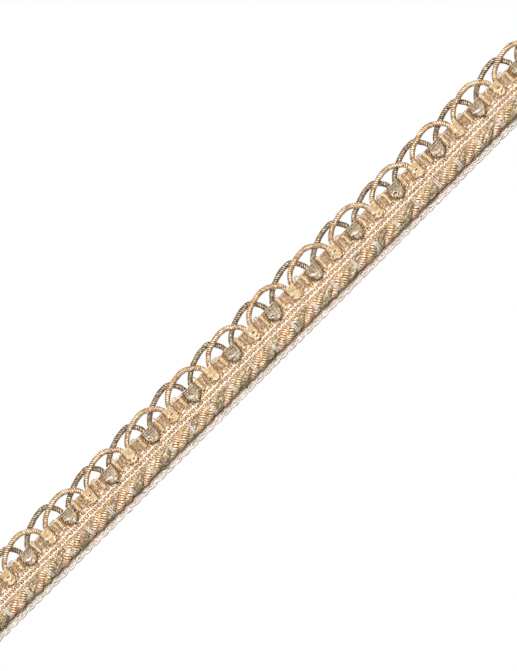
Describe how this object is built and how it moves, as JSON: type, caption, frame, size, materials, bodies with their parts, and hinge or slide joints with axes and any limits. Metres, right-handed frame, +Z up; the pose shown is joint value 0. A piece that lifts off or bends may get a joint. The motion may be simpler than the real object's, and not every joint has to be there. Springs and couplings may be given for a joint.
{
  "type": "scalloped cord trim",
  "caption": "Flat length of scalloped cord trim: interlaced wound cords on a woven heading, over a tied twisted rope and a looped lip.",
  "frame": {"origin": "centre of the strip's footprint, on the surface it lies on", "axes": "+X along the strip, +Y across it towards the scallops, +Z up from the surface"},
  "size_m": [0.2688, 0.0226, 0.0067],
  "materials": {
    "woven": "plain weave of tan-gold and white yarn, ribbed heading",
    "lip": "matte cream looped yarn",
    "rope": "two satin wound strands and one matte fibre strand",
    "gold": "satin wound thread",
    "taupe": "satin wound thread",
    "thread": "soft white thread"
  },
  "bodies": {
    "root": {"heading_band": "woven", "lip_edging": "lip", "twisted_rope": "rope", "gold_gimp_cord": "gold", "taupe_gimp_cord": "taupe", "gold_knot_1": "gold", "gold_knot_2": "gold", "gold_knot_3": "gold", "gold_knot_4": "gold", "gold_knot_5": "gold", "gold_knot_6": "gold", "gold_knot_7": "gold", "gold_knot_8": "gold", "gold_knot_9": "gold", "gold_knot_10": "gold", "gold_knot_11": "gold", "gold_knot_12": "gold", "gold_knot_13": "gold", "taupe_knot_1": "taupe", "taupe_knot_2": "taupe", "taupe_knot_3": "taupe", "taupe_knot_4": "taupe", "taupe_knot_5": "taupe", "taupe_knot_6": "taupe", "taupe_knot_7": "taupe", "taupe_knot_8": "taupe", "taupe_knot_9": "taupe", "taupe_knot_10": "taupe", "taupe_knot_11": "taupe", "taupe_knot_12": "taupe", "taupe_knot_13": "taupe", "taupe_knot_14": "taupe", "rope_tie_1": "thread", "rope_tie_2": "thread", "rope_tie_3": "thread", "rope_tie_4": "thread", "rope_tie_5": "thread", "rope_tie_6": "thread", "rope_tie_7": "thread", "rope_tie_8": "thread", "rope_tie_9": "thread", "rope_tie_10": "thread", "rope_tie_11": "thread", "rope_tie_12": "thread", "rope_tie_13": "thread", "rope_tie_14": "thread", "rope_tie_15": "thread", "rope_tie_16": "thread", "rope_tie_17": "thread", "rope_tie_18": "thread", "rope_tie_19": "thread", "rope_tie_20": "thread", "rope_tie_21": "thread", "rope_tie_22": "thread", "rope_tie_23": "thread", "rope_tie_24": "thread", "rope_tie_25": "thread", "rope_tie_26": "thread", "rope_tie_27": "thread", "rope_tie_28": "thread"}
  },
  "joints": []
}
